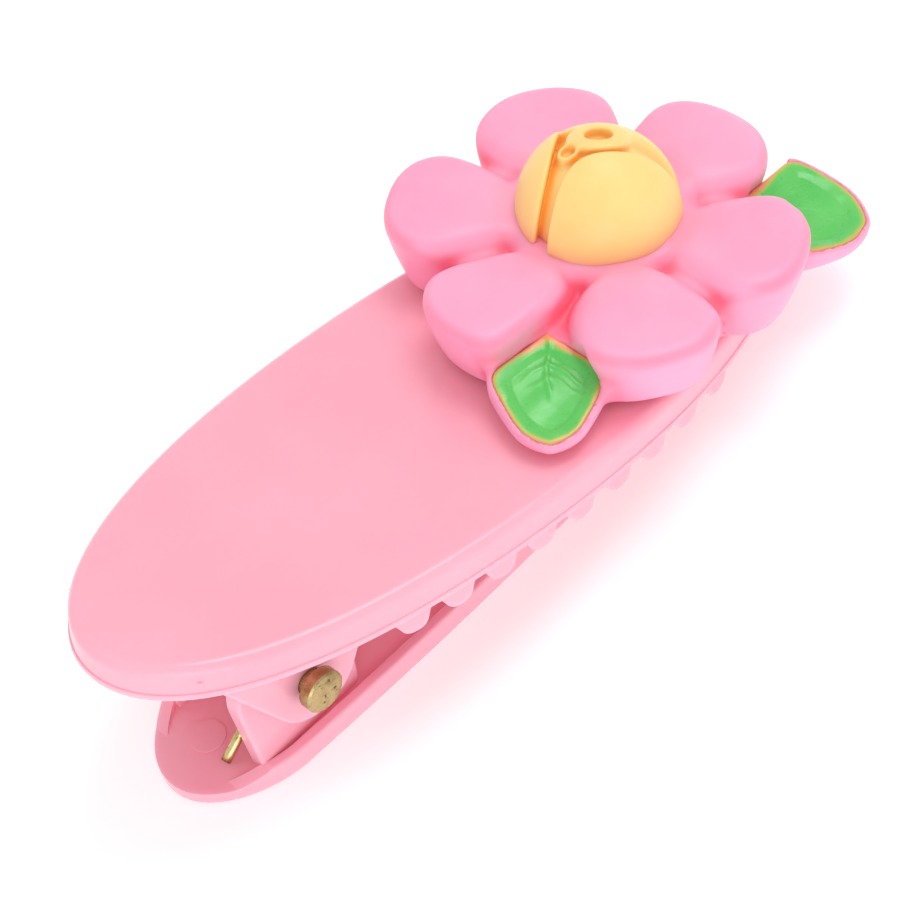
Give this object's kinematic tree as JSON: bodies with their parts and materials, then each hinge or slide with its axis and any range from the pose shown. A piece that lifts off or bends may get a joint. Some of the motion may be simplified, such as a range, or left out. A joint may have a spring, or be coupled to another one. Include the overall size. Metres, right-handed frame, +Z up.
{
  "type": "alligator hair clip",
  "caption": "Sprung plastic alligator hair clip: an oval toothed upper plate hinged on a slim lower jaw, with a cast flower, bud and leaves glued near the tip.",
  "frame": {"origin": "on the flat underside of the lower jaw, straight under the hinge pin, on the clip's middle plane", "axes": "+X from the thumb tail to the tip, +Y to the far side along the hinge pin, +Z up, square to the lower jaw's underside"},
  "size_m": [0.0578, 0.0247, 0.0173],
  "materials": {
    "clip_plastic": "glossy moulded pink plastic",
    "brass": "lightly tarnished",
    "spring_wire": "drawn brass-plated wire",
    "glue": "clear adhesive, set",
    "petal_resin": "satin cast resin",
    "bud_resin": "satin cast resin",
    "leaf_resin": "satin cast resin, slightly glossy"
  },
  "bodies": {
    "lower": {"lower_jaw": "clip_plastic", "hinge_pin": "brass", "torsion_spring": "spring_wire"},
    "upper": {"upper_jaw": "clip_plastic", "glue_pad": "glue", "flower_casting": "petal_resin", "bud": "bud_resin", "leaf_front": "leaf_resin", "leaf_side": "leaf_resin"}
  },
  "joints": [
    {"name": "jaw_hinge", "type": "hinge", "parent": "lower", "child": "upper", "pos_m": [0, 0, 0.00712], "axis": [0, -1, 0], "range_deg": [0, 60], "stiffness_Nm_per_rad": 0.048, "springref_deg": -57.3, "deforming": ["torsion_spring"]}
  ]
}
